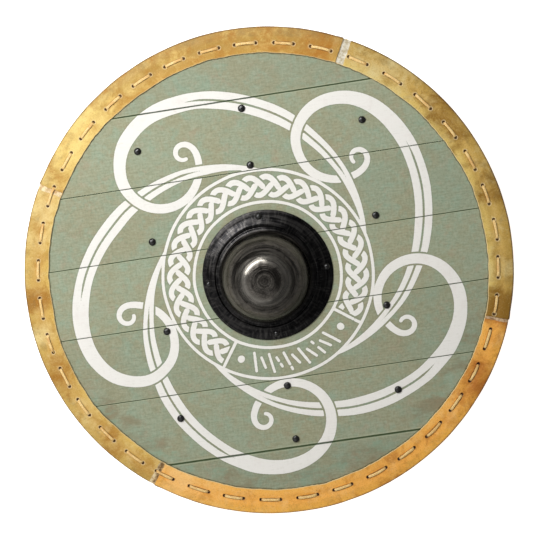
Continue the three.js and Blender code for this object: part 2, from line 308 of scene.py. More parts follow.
def nearest(points, x, y):
    """How far each (x, y) is from a line, and the line's nearest point."""
    square = (x[:, None] - points[None, :, 0]) ** 2 + (y[:, None] - points[None, :, 1]) ** 2
    at = square.argmin(1)
    return np.sqrt(square[np.arange(len(x)), at]), at


def painted(bands, x, y):
    """How far each (x, y) lies inside the bands' paint: less than 0 outside it."""
    inside = np.full(len(x), -PAINT_REACH)
    for band, first, last, over in spans(bands):
        points, half = band.points[first:last], band.half[first:last]
        pad = half.max() + PAINT_REACH
        low, high = points.min(0) - pad, points.max(0) + pad
        near = np.flatnonzero((x > low[0]) & (x < high[0]) & (y > low[1]) & (y < high[1]))
        if not len(near):
            continue
        distance, at = nearest(points, x[near], y[near])
        depth = half[at] - distance
        if band.groove:
            start, end, width = band.groove
            lead = max(first - PASSING_REACH, 0)
            off, at = nearest(band.points[lead : last + PASSING_REACH], x[near], y[near])
            opened = np.clip(np.minimum(at + lead - start, end - at - lead) / GROOVE_TAPER, 0, 1)
            depth = np.minimum(depth, off - width * (1.4 * opened - 0.4) / 2)
        if over:
            upper = bands[over[0]]
            window = slice(max(over[1] - PASSING_REACH, 0), over[1] + PASSING_REACH)
            distance, at = nearest(upper.points[window], x[near], y[near])
            depth = np.minimum(depth, distance - upper.half[window][at] - PASSING_GAP)
        inside[near] = np.maximum(inside[near], np.clip(depth, -PAINT_REACH, PAINT_REACH))
    return inside


PLAIT_RADIUS = 138.5
PLAIT_SWING = 14
PLAIT_PERIODS = 9
STRAND_WIDTH = 8.6
CARTOUCHE = (236, 324)  # where the ring round the boss holds a row of strokes in place of the plait
STROKE_COUNT = 11
STROKE_REACHES = (14, 8)  # half the lengths of the strokes, in turn
STROKE_TILT = 1.6  # degrees that each end of a stroke lies off its middle
STROKE_WIDTH = 4.4
STROKE_MARGIN = 17  # degrees from the cartouche's end to the first stroke
DOT_MARGIN = 8  # and to the dot
DOT_WIDTH = 11
RING_INNER = 114
RING_OUTER = 163
RING_WIDTH = 4.8
BRUSH_WANDER = 0.7  # how far the hand that painted it strays
WANDER_SIZE = 34
ARM_COUNT = 5
ARM_FIRST = 15  # the angle at which the first arm leaves the outer ring
ARM_LEAN = 16  # degrees that each turns out from the ring there
ARM_WIDTHS = ((0, 5), (0.1, 14), (0.3, 27), (0.5, 25), (0.72, 16), (0.92, 10), (1, 6))
ARM_GROOVE = (70, 400, 3.2)
# Each stretch of an arm: its length, and the curvature at its end.
ARM_BENDS = (
    (0, 1 / 222),
    (265, 1 / 256),
    (130, 1 / 188),
    (185, 1 / 61),
    (168, 1 / 61),
    (30, 1 / 14),
    (42, 1 / 10),
)


def scroll_arms():
    """Tapering arms that leave the outer ring, loop over the next arm and back, and end in a curl."""
    arms = []
    for index in range(ARM_COUNT):
        angle = ARM_FIRST + index * 360 / ARM_COUNT
        line = scroll(polar(RING_OUTER, angle), angle + 90 - ARM_LEAN, ARM_BENDS)
        arms.append(Band(line, ARM_WIDTHS, ARM_GROOVE))
    return arms


def cartouche():
    """Between two end bars, a row of plain slanted strokes with a dot at each end."""
    start, end = CARTOUCHE
    middle = (RING_INNER + RING_OUTER) / 2
    bars = [np.stack([polar(RING_INNER, a), polar(RING_OUTER, a)]) for a in (start, end)]
    bands = [Band(smooth_curve(bar, 48), RING_WIDTH) for bar in bars]
    for angle in (start + DOT_MARGIN, end - DOT_MARGIN):
        bands.append(Band(np.stack([polar(middle - 0.5, angle), polar(middle + 0.5, angle)]), DOT_WIDTH))
    for index, angle in enumerate(np.linspace(start + STROKE_MARGIN, end - STROKE_MARGIN, STROKE_COUNT)):
        reach = STROKE_REACHES[index % 2]
        ends = [polar(middle + side * reach, angle + side * STROKE_TILT) for side in (-1, 1)]
        bands.append(Band(smooth_curve(ends, 26), STROKE_WIDTH))
    return bands


def ornament(x, y):
    """Depth inside the white paint at points of the board's front."""
    wander = [BRUSH_WANDER * lumps(x, y, WANDER_SIZE, seed) for seed in (1, 2)]
    x, y = x + wander[0], y + wander[1]
    lines = plait(PLAIT_RADIUS, PLAIT_SWING, PLAIT_PERIODS, CARTOUCHE[1], CARTOUCHE[0] + 360)
    plaited = painted([Band(line, STRAND_WIDTH) for line in lines], x, y)
    for bar in CARTOUCHE:
        line = polar(np.arange(RING_INNER, RING_OUTER, BAND_STEP), bar)
        plaited = np.minimum(plaited, nearest(line, x, y)[0] - RING_WIDTH / 2 - PASSING_GAP)
    groups = [scroll_arms()]
    groups += [[Band(arc(radius, 0, 360), RING_WIDTH)] for radius in (RING_INNER, RING_OUTER)]
    groups += [[band] for band in cartouche()]
    return np.max([plaited] + [painted(group, x, y) for group in groups], axis=0)


# Shader nodes.


def linear(colour):
    """An sRGB colour of three numbers up to 255, as the linear colour that a shader takes."""
    share = np.asarray(colour, float) / 255
    value = np.where(share <= 0.04045, share / 12.92, ((share + 0.055) / 1.055) ** 2.4)
    return (*value, 1)


def feed(socket, value):
    """Give an input its value: the socket that feeds it, an sRGB colour, or a number."""
    if isinstance(value, bpy.types.NodeSocket):
        socket.id_data.links.new(value, socket)
    else:
        socket.default_value = linear(value) if socket.type == "RGBA" else value


class Look:
    """A material being built: short ways to add the nodes it is made of."""

    def __init__(self, name):
        self.material = bpy.data.materials.new(name)
        self.material.use_nodes = True
        self.tree = self.material.node_tree
        self.shader = self.tree.nodes["Principled BSDF"]
        self.place = self.node("ShaderNodeTexCoord").outputs["Object"]

    def node(self, kind, inputs=(), **settings):
        node = self.tree.nodes.new(kind)
        for name, value in settings.items():
            setattr(node, name, value)
        for name, value in dict(inputs).items():
            feed(node.inputs[name], value)
        return node

    def math(self, operation, a, b=0.0, c=0.0):
        return self.node("ShaderNodeMath", {0: a, 1: b, 2: c}, operation=operation).outputs[0]

    def vector(self, operation, a, b=(0, 0, 0)):
        return self.node("ShaderNodeVectorMath", {0: a, 1: b}, operation=operation).outputs

    def axes(self, vector):
        """The three numbers of a vector."""
        return self.node("ShaderNodeSeparateXYZ", {0: vector}).outputs

    def joined(self, x, y, z):
        """A vector of three numbers."""
        return self.node("ShaderNodeCombineXYZ", {0: x, 1: y, 2: z}).outputs[0]

    def attribute(self, name):
        return self.node("ShaderNodeAttribute", attribute_name=name).outputs["Fac"]

    def noise(self, scale, detail=3.0, roughness=0.55, stretch=None, distortion=0.0, place=None):
        """Noise from 0 to 1, with scale lumps to a metre, drawn out along an axis by stretch."""
        place = place or self.place
        if stretch:
            place = self.node("ShaderNodeMapping", {"Vector": place, "Scale": stretch}).outputs[0]
        inputs = {"Vector": place, "Scale": scale, "Detail": detail, "Roughness": roughness}
        return self.node("ShaderNodeTexNoise", {**inputs, "Distortion": distortion}).outputs[0]

    def ramp(self, value, low, high, to_low=0.0, to_high=1.0):
        """A smooth step: value from low to high becomes to_low to to_high."""
        inputs = {"Value": value, 1: low, 2: high, 3: to_low, 4: to_high}
        return self.node("ShaderNodeMapRange", inputs, interpolation_type="SMOOTHSTEP").outputs[0]

    def mix(self, share, a, b, blend="MIX"):
        """Colour a going over to colour b."""
        node = self.node("ShaderNodeMix", data_type="RGBA", blend_type=blend)
        colours = [socket for socket in node.inputs if socket.type == "RGBA"]
        for socket, value in zip((node.inputs[0], *colours), (share, a, b)):
            feed(socket, value)
        return [socket for socket in node.outputs if socket.type == "RGBA"][0]

    def layered(self, colour, *layers):
        """A colour under layers of (value, low, high, share, colour).

        Each layer's colour comes in as value goes from low to high, and covers up to share.
        """
        for value, low, high, share, over in layers:
            colour = self.mix(self.ramp(value, low, high, 0, share), colour, over)
        return colour

    def blurred(self, value, noise, reach):
        """A value moved up and down by noise, over a range of reach in all."""
        return self.math("ADD", value, self.math("MULTIPLY_ADD", noise, reach, -reach / 2))

    def radius(self, centre=(0, 0)):
        """The distance from an upright axis, in metres."""
        away = self.vector("SUBTRACT", self.place, (*centre, 0))[0]
        return self.vector("LENGTH", self.vector("MULTIPLY", away, (1, 1, 0))[0])["Value"]

    def bump(self, height, distance, after=None):
        """Height from 0 to 1 stands up by distance in millimetres, on top of an earlier bump."""
        inputs = {"Height": height, "Distance": distance * MM, "Strength": 1.0}
        if after:
            inputs["Normal"] = after
        return self.node("ShaderNodeBump", inputs).outputs[0]

    def finish(self, colour, roughness, normal=None, **constants):
        """The material. Constants are named as the shader's inputs are, with _ for a space."""
        inputs = {"Base Color": colour, "Roughness": roughness}
        if normal:
            inputs["Normal"] = normal
        for name, value in constants.items():
            inputs[name.replace("_", " ")] = value
        for name, value in inputs.items():
            feed(self.shader.inputs[name], value)
        return self.material


# Materials.


def board_look():
    """Sage-green paint over wood with white bands on it, and bare wood at the back. The paint carries
    painted highlights beside the seams and a painted shadow along the leather's inner edge.
    """
    look = Look("painted_board")
    along = look.noise(430, 4, 0.62, stretch=(0.14, 1, 1))
    across = look.noise(380, 3, 0.6, stretch=(1, 0.2, 1))
    weave = look.math("MULTIPLY_ADD", across, 0.35, look.math("MULTIPLY", along, 0.65))
    speckle = look.noise(260, 3, 0.7)
    low_down = look.ramp(look.axes(look.place)[1], 0.02, -0.14)
    near_rim = look.math("MULTIPLY", look.ramp(look.radius(), 0.255, 0.325), low_down)
    stains = look.noise(26, 6, 0.72, stretch=(0.55, 1, 1), distortion=0.3)
    fresh = look.noise(33, 5, 0.7, stretch=(0.5, 1, 1))
    green = look.layered(
        (149, 158, 133),
        (look.noise(15, 5, 0.62, distortion=0.4), 0.38, 0.62, 1, (153, 152, 123)),
        (look.noise(48, 5, 0.68), 0.48, 0.66, 0.5, (142, 165, 143)),
        (look.noise(41, 5, 0.7), 0.52, 0.7, 0.5, (164, 148, 122)),
        (weave, 0.46, 0.66, 0.24, (188, 192, 168)),
        (weave, 0.5, 0.32, 0.3, (118, 124, 94)),
        (speckle, 0.5, 0.34, 0.25, (112, 116, 86)),
        (speckle, 0.52, 0.68, 0.22, (182, 188, 164)),
        (look.math("MULTIPLY", near_rim, stains), 0.42, 0.62, 0.52, (132, 114, 84)),
        (look.math("MULTIPLY", near_rim, fresh), 0.5, 0.64, 0.5, (134, 164, 140)),
    )
    shade = look.math("ADD", look.attribute("plank_shift"), 1.0)
    grey = look.node("ShaderNodeCombineColor", {0: shade, 1: shade, 2: shade}).outputs[0]
    green = look.mix(1.0, green, grey, "MULTIPLY")
    seam = look.attribute("seam_mm")
    depth = look.blurred(look.attribute("paint_mm"), look.noise(420, 3), 0.9)
    green = look.layered(
        green,
        # Painted highlight: a pale line beside each seam, standing in for light caught by the planks'
        # rounded edges.
        (seam, 3.4, 1.9, 0.4, (186, 192, 160)),
        (look.math("ABSOLUTE", depth), 1.6, 0.5, 0.3, (96, 108, 78)),
    )
    white = look.layered(
        (241, 238, 231),
        (weave, 0.5, 0.3, 0.35, (210, 207, 195)),
        (look.noise(34, 5, 0.7), 0.5, 0.68, 0.3, (228, 219, 212)),
    )
    scratches = look.noise(150, 5, 0.75, stretch=(0.1, 1, 1))
    worn = look.ramp(scratches, 0.24, 0.34, 0.72, 1)
    cover = look.math("MULTIPLY", look.ramp(depth, -0.3, 0.35), worn)
    # Painted shadow: a rough dark line on the board along the leather's inner edge, where the rim's edge
    # casts shade.
    painted_rim_shadow = look.blurred(look.attribute("rim_mm"), look.noise(140, 4, 0.7), 5)
    colour = look.layered(
        look.mix(cover, green, white),
        (look.blurred(seam, look.noise(40, 3), 0.5), 1.7, 0.7, 0.9, (44, 66, 27)),
        (painted_rim_shadow, 2.0, 0.4, 0.7, (82, 74, 40)),
    )
    bare = bare_wood(look, (1, 0.06, 1), (168, 134, 94), (128, 94, 60))
    colour = look.mix(look.attribute("front"), bare, colour)
    normal = look.bump(cover, 0.08, look.bump(weave, 0.12))
    roughness = look.ramp(weave, 0.3, 0.7, 0.72, 0.58)
    return look.finish(colour, roughness, normal, Specular_IOR_Level=0.28)


def bare_wood(look, stretch, pale, dark):
    """Wood whose grain runs along the axis that stretch makes small."""
    fine = look.noise(260, 5, 0.65, stretch=stretch)
    broad = look.noise(38, 4, 0.6, stretch=stretch, distortion=0.6)
    pores = tuple(0.62 * part for part in dark)
    return look.layered(pale, (broad, 0.35, 0.68, 1, dark), (fine, 0.52, 0.72, 0.5, pores))


def rail_look():
    look = Look("rail_wood")
    stretch = (1, 0.05, 1)
    colour = bare_wood(look, stretch, (186, 150, 106), (146, 106, 68))
    normal = look.bump(look.noise(300, 4, 0.6, stretch=stretch), 0.25)
    return look.finish(colour, 0.62, normal, Specular_IOR_Level=0.3)


def leather_look(name, inner, middle, outer, dark, pale, flesh, hole, dark_share=0.5, lace_shadow_share=0.3):
    """Raw leather: its colour across the rim, clouds, tanned and pale stretches, holes and cut ends. Round
    the holes and lace it carries painted shade inside each hole, a painted highlight on the lip round it,
    and a painted shadow beside the lace.
    """
    look = Look(name)
    radius = look.radius()
    clouds = look.noise(30, 6, 0.7, distortion=0.5)
    drifts = look.noise(52, 6, 0.72, distortion=0.3)
    broken = look.blurred(look.attribute("tone"), clouds, 2.4)
    outside = look.math("MULTIPLY", look.ramp(radius, 0.357, 0.366), look.noise(38, 5, 0.7))
    grain = look.noise(460, 4, 0.7)
    colour = look.layered(
        inner,
        (radius, 0.338, 0.357, 1, middle),
        (radius, 0.360, 0.377, 1, outer),
        (clouds, 0.46, 0.66, dark_share, dark),
        (drifts, 0.47, 0.72, 0.5, pale),
        (broken, 0.15, 1.15, 0.9, dark),
        (broken, -0.1, -1.2, 0.85, pale),
        (outside, 0.48, 0.64, 0.55 * dark_share, (112, 92, 52)),
        (grain, 0.5, 0.3, 0.4, dark),
        (grain, 0.54, 0.72, 0.35, pale),
        (look.noise(210, 3, 0.7), 0.66, 0.76, 0.55, (104, 70, 34)),
    )
    upper = look.ramp(look.axes(look.place)[2], 0.0195, 0.0225)
    brim = look.math("MULTIPLY", look.ramp(radius, 0.3762, 0.3788), upper)
    colour = look.mix(look.math("MULTIPLY", brim, 0.85), colour, (88, 56, 22))
    bared = look.blurred(look.attribute("pale"), look.noise(170, 4, 0.7), 0.9)
    raw = look.mix(look.ramp(look.noise(120, 5, 0.7), 0.4, 0.62), *flesh)
    colour = look.mix(look.ramp(bared, 0.4, 0.6), colour, raw)
    strands = look.ramp(look.noise(330, 4, 0.7, stretch=(0.5, 1, 1)), 0.42, 0.58)
    fibres = look.mix(strands, (114, 86, 48), (190, 162, 116))
    colour = look.mix(look.attribute("frayed"), colour, fibres)
    colour = look.mix(look.attribute("cut"), colour, (240, 212, 156))
    to_hole = look.attribute("hole_mm")
    colour = look.layered(
        colour,
        # Painted shadow beside the lace.
        (look.attribute("lace_mm"), 3.6, 2.2, lace_shadow_share, (84, 44, 14)),
        # Painted highlight on the raised lip round each hole.
        (to_hole, 4.4, 3.2, 0.66 - lace_shadow_share, (252, 232, 184)),
        # Painted shade: the hole is only a dimple, and this dark colour stands in for the shade inside it.
        (to_hole, 2.8, 1.8, 1, hole),
    )
    normal = look.bump(look.noise(130, 4, 0.6), 0.5, look.bump(grain, 0.2))
    roughness = look.ramp(clouds, 0.3, 0.7, 0.5, 0.66)
    return look.finish(colour, roughness, normal, Specular_IOR_Level=0.35)


def leathers():
    """The looks of strips 1 to 4."""
    # Each hole colour is painted shade inside a lace hole.
    gold = leather_look(
        "gold_leather",
        inner=(197, 151, 66),
        middle=(183, 143, 64),
        outer=(179, 142, 72),
        dark=(180, 118, 32),
        pale=(246, 217, 130),
        flesh=((248, 226, 184), (206, 176, 128)),
        hole=(74, 42, 6),
        dark_share=0.45,
    )
    tan = leather_look(
        "tan_leather",
        inner=(222, 184, 92),
        middle=(208, 167, 86),
        outer=(206, 171, 88),
        dark=(170, 116, 32),
        pale=(236, 212, 146),
        flesh=((240, 220, 176), (196, 158, 104)),
        hole=(66, 34, 4),
    )
    orange = leather_look(
        "orange_leather",
        inner=(250, 184, 84),
        middle=(252, 181, 80),
        outer=(255, 189, 78),
        dark=(178, 102, 22),
        pale=(255, 206, 132),
        flesh=((216, 188, 150), (142, 104, 68)),
        hole=(44, 10, 0),
        dark_share=0.32,
        lace_shadow_share=0.65,
    )
    olive = leather_look(
        "olive_leather",
        inner=(225, 195, 108),
        middle=(204, 167, 86),
        outer=(192, 155, 74),
        dark=(140, 98, 16),
        pale=(222, 204, 146),
        flesh=((226, 220, 202), (184, 168, 134)),
        hole=(74, 46, 6),
    )
    return gold, tan, orange, olive


def lace_look():
    look = Look("lace")
    fibres = look.noise(900, 3, 0.6)
    colour = look.layered(
        (230, 184, 108),
        (fibres, 0.38, 0.62, 1, (254, 226, 162)),
        (look.noise(60, 3), 0.46, 0.7, 0.6, (214, 158, 84)),
    )
    return look.finish(colour, 0.6, look.bump(fibres, 0.12), Specular_IOR_Level=0.35)


def boss_look():
    """Dark iron, spun and worn: rings and rays of wear, a bright shoulder, and a painted dark reflection
    on the dome's lower right side.
    """
    look = Look("boss_iron")
    centre = tuple(shift * MM for shift in DOME_SHIFT)
    radius = look.radius(centre)
    away = look.vector("SUBTRACT", look.place, (*centre, 0))[0]
    ahead = look.axes(look.vector("NORMALIZE", away)[0])
    sway = [look.math("MULTIPLY", ahead[axis], 0.006) for axis in (0, 1)]
    rings = look.joined(*sway, radius)
    spun = look.noise(330, 4, 0.5, place=rings)
    broad = look.noise(90, 3, 0.5, place=rings)
    turned = [look.math("MULTIPLY", ahead[axis], 0.09) for axis in (0, 1)]
    rays = look.joined(*turned, look.math("MULTIPLY", radius, 0.12))
    streaks = look.noise(420, 4, 0.5, place=rays)
    scuffs = look.noise(110, 5, 0.65, distortion=0.6)
    flange = look.layered(
        (22, 22, 23),
        (scuffs, 0.38, 0.62, 1, (38, 37, 37)),
        (streaks, 0.48, 0.68, 0.5, (76, 74, 72)),
        (spun, 0.5, 0.66, 0.4, (72, 70, 68)),
    )
    worn = look.layered(
        (64, 61, 57),
        (broad, 0.4, 0.62, 1, (96, 92, 86)),
        (spun, 0.44, 0.64, 0.5, (126, 121, 114)),
        (scuffs, 0.48, 0.68, 0.6, (40, 37, 35)),
    )
    pitted = look.ramp(look.noise(620, 4, 0.7), 0.44, 0.6)
    # Painted dark reflection: the dome's lower right side is darkened in its colour, standing in for dark
    # surroundings mirrored there.
    painted_dark_reflection = look.ramp(look.math("SUBTRACT", ahead[0], ahead[1]), 0.0, 1.1)
    outside = look.ramp(radius, 0.043, 0.036)
    for inside, within, share, colour in (
        (look.ramp(radius, 0.034, 0.024), pitted, 0.6, (28, 25, 24)),
        (painted_dark_reflection, look.ramp(radius, 0.034, 0.05), 0.75, (24, 23, 22)),
        (look.ramp(radius, 0.025, 0.031), outside, 0.42, (150, 146, 138)),
    ):
        cover = look.math("MULTIPLY", look.math("MULTIPLY", inside, within), share)
        worn = look.mix(cover, worn, colour)
    dome = look.ramp(radius, 0.074, 0.066)
    colour = look.mix(dome, flange, worn)
    normal = look.bump(scuffs, 0.18, look.bump(spun, 0.07))
    roughness = look.ramp(spun, 0.35, 0.65, look.ramp(dome, 0, 1, 0.22, 0.2), 0.4)
    return look.finish(colour, roughness, normal, Metallic=1.0)


def nail_look():
    look = Look("nail_iron")
    scale = look.noise(420, 4, 0.6)
    colour = look.layered((13, 12, 11), (scale, 0.4, 0.65, 1, (25, 23, 21)))
    return look.finish(colour, 0.28, look.bump(scale, 0.06), Specular_IOR_Level=0.55)


# The planks.

SEAM_ROUNDING = 1.0
PLANK_STEP = 1.4  # between points of a plank's front
SEAM_CLOSING = 0.11  # how much of the gap beside it each plank's front fills
HIDDEN_MARGIN = 1.2  # the board stops this far short of the fold in the leather
FAR_AWAY = 10  # stands for a distance at points where it doesn't matter
PLANK_LIFT = (0.05, -0.15, 0.1, 0.0, -0.12, 0.08, -0.05)
PLANK_SHADE = (-0.05, 0.02, -0.02, 0.04, -0.01, 0.03, -0.04)
SEAM_WIDTHS = (1, 1.25, 0.56, 0.58, 0.58, 0.58, 0.9, 1)  # how wide each seam shows, from the lowest up


def plank_rows(low, high):
    """Where rows of points lie across a plank: close together at its rounded long edges."""
    edge = np.array([0, 0.15, 0.35, 0.65, SEAM_ROUNDING, 2.2])
    count = round((high - low - 2 * edge[-1]) / PLANK_STEP)
    middle = np.linspace(low + edge[-1], high - edge[-1], count + 1)
    return np.concatenate([low + edge[:-1], middle, (high - edge[:-1])[::-1]])


def plank_ends(rows, side):
    """The x of a plank's two ends along each row. Half planks end at the hand hole."""
    radius = SHIELD_RADIUS - LEATHER - HIDDEN_MARGIN
    outer = np.sqrt(radius**2 - np.minimum(np.abs(rows), radius - 1) ** 2)
    if not side:
        return -outer, outer
    hole = np.sqrt(HAND_HOLE_RADIUS**2 - rows**2)
    return (-outer, -hole) if side == "left" else (hole, outer)


def add_plank(number, side, material):
    node = f"plank_{number}" + (f"_{side}" if side else "")
    low, high = corners(node)
    rows = plank_rows(low[1] - SEAM_CLOSING, high[1] + SEAM_CLOSING)
    start, end = plank_ends(rows, side)
    count = round((end - start).max() / PLANK_STEP)
    share = np.linspace(0, 1, count + 1)[None]
    x = start[:, None] + (end - start)[:, None] * share
    y = np.repeat(rows[:, None], count + 1, axis=1)
    if not side:
        y = clear_of_hole(x, y, rows)
    seam = np.minimum(rows - rows[0], rows[-1] - rows)
    seam = np.repeat(seam[:, None], count + 1, axis=1)
    front = plank_front(number, x, y, rows, seam)
    shown = np.where(rows < rows.mean(), SEAM_WIDTHS[number - 1], SEAM_WIDTHS[number])
    return plank_piece(node, number, material, x, y, front, seam / shown[:, None])


def clear_of_hole(x, y, rows):
    """The hand hole is a little wider than the middle plank, so it bites into the next ones."""
    inward = 1 if rows.mean() < 0 else -1
    inner = rows[-1] if inward > 0 else rows[0]
    bite = np.sqrt(np.maximum(HAND_HOLE_RADIUS**2 - x**2, 0)) - abs(inner)
    share = 1 - np.clip(np.abs(y - inner) / 40, 0, 1)
    return y - inward * np.maximum(bite, 0) * share


def plank_front(number, x, y, rows, seam):
    """The height of a plank's front: its edges are rounded over, and it is cupped and uneven."""
    into = np.maximum(SEAM_ROUNDING - seam, 0)
    drop = SEAM_ROUNDING - np.sqrt(np.maximum(SEAM_ROUNDING**2 - into**2, 0))
    across = (y - rows.mean()) / np.ptp(rows)
    cup = 0.15 * (1 - 4 * across**2)
    uneven = 0.06 * lumps(x / 6, y, 9, number) + 0.1 * lumps(x, y, 60, number + 20)
    return BOARD_FRONT - 0.15 + PLANK_LIFT[number - 1] + cup + uneven - drop


def plank_piece(node, number, material, x, y, front, seam):
    """A closed plank from the grid of its front: flat behind, with the numbers its paint needs."""
    rows, columns = x.shape
    top = np.stack([x, y, front], -1).reshape(-1, 3)
    index = np.arange(rows * columns).reshape(rows, columns)
    border = np.concatenate([index[0], index[1:, -1], index[-1, -2::-1], index[-2:0:-1, 0]])
    bottom = top[border].copy()
    bottom[:, 2] = BOARD_BACK
    below = len(top) + np.arange(len(border))
    faces = grid_faces(rows, columns) + wall(border, below) + [below[::-1].tolist()]
    paint = ornament(x.ravel(), y.ravel())
    # How far in from the leather's edge each point lies; the paint darkens near it as painted shadow.
    to_rim = rim_edge(np.degrees(np.arctan2(y, x))) - np.hypot(x, y)
    attributes = {
        name: np.append(values, np.full(len(border), behind))
        for name, values, behind in (
            ("rim_mm", to_rim, FAR_AWAY),
            ("paint_mm", paint, -PAINT_REACH),
            ("seam_mm", seam, FAR_AWAY),
            ("plank_shift", np.full(len(top), PLANK_SHADE[number - 1]), PLANK_SHADE[number - 1]),
            ("front", np.ones(len(top)), 0),
        )
    }
    points = np.vstack([top, bottom])
    return make_piece(node + "_wood", [node], material, points, faces, attributes)


# The stitches, and the leather that they hold.


def stitch(index):
    """A front stitch: the angles of its two holes, and the radius that they lie on."""
    wander = -0.5 * math.cos(0.16 * index - 0.3) - 0.45 * math.sin(0.54 * index + 0.3)
    start = STITCH_FIRST + index * 360 / STITCH_COUNT + wander
    end = start + STITCH_LENGTH + 0.2 * math.sin(3.7 * index)
    return start, end, STITCH_RADIUS + 1.5 * math.sin(0.24 * index + 2.6)


STITCHES = [stitch(index) for index in range(STITCH_COUNT)]
HOLES = np.array([[radius, angle] for start, end, radius in STITCHES for angle in (start, end)])
PULL = 0.3  # degrees that the taut lace lies in from the middle of each hole

# Where each strip starts: angle, the strip that runs on below the other, the width of its pale end.
JOINTS = (
    (63.8, 4, 12.5),
    (149.5, 2, 8),
    (233, 2, 9),
    (341, 3, 5),
)
STRIP_SLOTS = ("gold_leather", "gold_leather", "orange_leather", "olive_leather")
# Darker and paler stretches of the hides: angle, reach in degrees, and strength.
TONES = (
    (344, 5, 1.5),
    (352, 4, -0.6),
    (12, 6, 0.7),
    (34, 10, 0.8),
    (50, 8, -0.7),
    (59, 4, -0.5),
    (70, 12, 0.7),
    (100, 12, 0.3),
    (136, 18, -0.9),
    (160, 8, -0.4),
    (178, 4, 0.9),
    (186, 4, -0.9),
    (196, 8, 0.8),
    (210, 5, -0.5),
    (219, 5, 0.5),
    (240, 12, -0.6),
    (262, 10, 0.3),
    (290, 9, 0.6),
    (306, 7, 0.3),
    (325, 7, 1.0),
)
FRAYED_STRIP = 2  # its far end is torn and fibrous
TUCK = 6  # how far the lower strip runs on under the other
TUCK_DEPTH = 0.25  # a tucked end lies this far inside the one over it, round the edge and behind
PARING = 0.9  # how much lower a tucked end lies in front
CLIMB = 1.0  # and how much higher the end over it
RAGGED_REACH = 16  # how far from an end its raggedness shows
SECTION_WALK = 80  # how far the random raggedness of an end runs on round the section
FOLD_ROUNDING = 4.4
HOLE_DEPTH = 1.8
LIP_HEIGHT, LIP_RADIUS, LIP_WIDTH = 0.5, 3.4, 0.9  # the leather pulled up round a hole in front
SINK_HEIGHT, SINK_RADIUS = 1.2, 1.7  # and pulled in round a hole behind
COLUMN_STEP = 0.27  # degrees between points along a strip
HOLE_COLUMNS = np.linspace(-0.66, 0.66, 12)  # and where they lie at a hole
HOLE_CLEAR = 0.75
DEGREE = math.radians(1) * STITCH_RADIUS  # length of one degree at the stitches


def degrees_apart(a, b):
    return (a - b + 180) % 360 - 180


def strip_angles(start, end):
    """Columns of points along a strip, closer together at the lace's holes."""
    even = np.arange(start, end, COLUMN_STEP)
    near = np.concatenate([angle + HOLE_COLUMNS for _, angle in HOLES])
    near = near + 360 * np.round(((start + end) / 2 - near) / 360)
    near = near[(near > start) & (near < end)]
    away = np.abs(degrees_apart(even[:, None], HOLES[:, 1][None])).min(1) > HOLE_CLEAR
    angles = np.unique(np.concatenate([[start], even[away], near, [end]]))
    return angles[np.concatenate([[True], np.diff(angles) > 0.03])]


def strip_section():
    """The strip's outer face from its front edge round to its back edge, then back inside.

    Rows are (radius, z, share of the relief that they take, 1 where the edge is cut).
    """
    inner, back_inner = SHIELD_RADIUS - RIM_FRONT_WIDTH, SHIELD_RADIUS - RIM_BACK_WIDTH
    front_steps = [0.5, 1.3, 2.6, 4.2, 6, 8, 9.8, *np.arange(11, 21.5, 0.85), 23, 25, 27, 29, 31, 33]
    back_steps = [3, 7, 11, 15, 16.5, 18, 19.5, 21, 22.5, 25, 28]
    rows = [(inner, RIM_FRONT - 1.1, 0.3, 1), (inner + 0.12, RIM_FRONT - 0.5, 0.6, 1)]
    rows += [(inner + step, RIM_FRONT, 1, 0.7 if step < 1 else 0) for step in front_steps]
    turn = SHIELD_RADIUS - FOLD_ROUNDING
    for level, first, last in ((RIM_FRONT - FOLD_ROUNDING, 90, 0), (RIM_BACK + FOLD_ROUNDING, 0, -90)):
        for angle in np.linspace(first, last, 7):
            out = FOLD_ROUNDING * math.cos(math.radians(angle))
            up = FOLD_ROUNDING * math.sin(math.radians(angle))
            rows.append((turn + out, level + up, 0.6, 0))
    rows += [(turn - step, RIM_BACK, -0.8, 0) for step in back_steps]
    rows += [(back_inner + 0.2, RIM_BACK + 0.1, 0, 1), (back_inner, RIM_BACK + LEATHER - 0.2, 0, 1)]
    rows += [(back_inner + 2, RIM_BACK + LEATHER, 0, 0), (turn, RIM_BACK + LEATHER, 0, 0)]
    rows += [(SHIELD_RADIUS - LEATHER, RIM_BACK + FOLD_ROUNDING, 0, 0)]
    rows += [(SHIELD_RADIUS - LEATHER, RIM_FRONT - FOLD_ROUNDING, 0, 0)]
    rows += [(turn, RIM_FRONT - LEATHER, 0, 0), (inner + 2, RIM_FRONT - LEATHER, 0, 0)]
    rows += [(inner + 0.1, RIM_FRONT - LEATHER + 0.1, 0, 1)]
    return np.array(rows)


def ring_wave(angle, size, seed):
    """Lumps along the rim, size millimetres long."""
    return lumps(*across_and_up(STITCH_RADIUS, angle), size, seed)


def rim_edge(angle):
    """The radius of the leather's hand-cut inner edge."""
    wave = 1.8 * ring_wave(angle, 130, 40) + 1.3 * ring_wave(angle, 46, 41)
    wave += 0.6 * ring_wave(angle, 13, 42) + 0.3 * ring_wave(angle, 4, 43)
    return SHIELD_RADIUS - RIM_FRONT_WIDTH + wave


def front_relief(radius, angle):
    """How far the leather's face stands above flat: puffed between the edge, lace and fold."""
    puff = 0.55 * np.sin(np.clip((radius - 340.5) / 15, 0, 1) * math.pi) ** 2
    puff += 0.7 * np.sin(np.clip((radius - 357) / 19, 0, 1) * math.pi) ** 2
    x, y = across_and_up(radius, angle)
    uneven = 0.22 * lumps(x, y, 14, 31) + 0.12 * lumps(x, y, 5, 32)
    return puff * (1 + 0.35 * ring_wave(angle, 30, 33)) + uneven


def hole_distance(radius, angle):
    """From each point to the nearest lace hole, along the leather's face."""
    gap = degrees_apart(angle[..., None], HOLES[:, 1])
    along = np.radians(gap) * radius[..., None]
    return np.hypot(along, radius[..., None] - HOLES[:, 0]).min(-1)


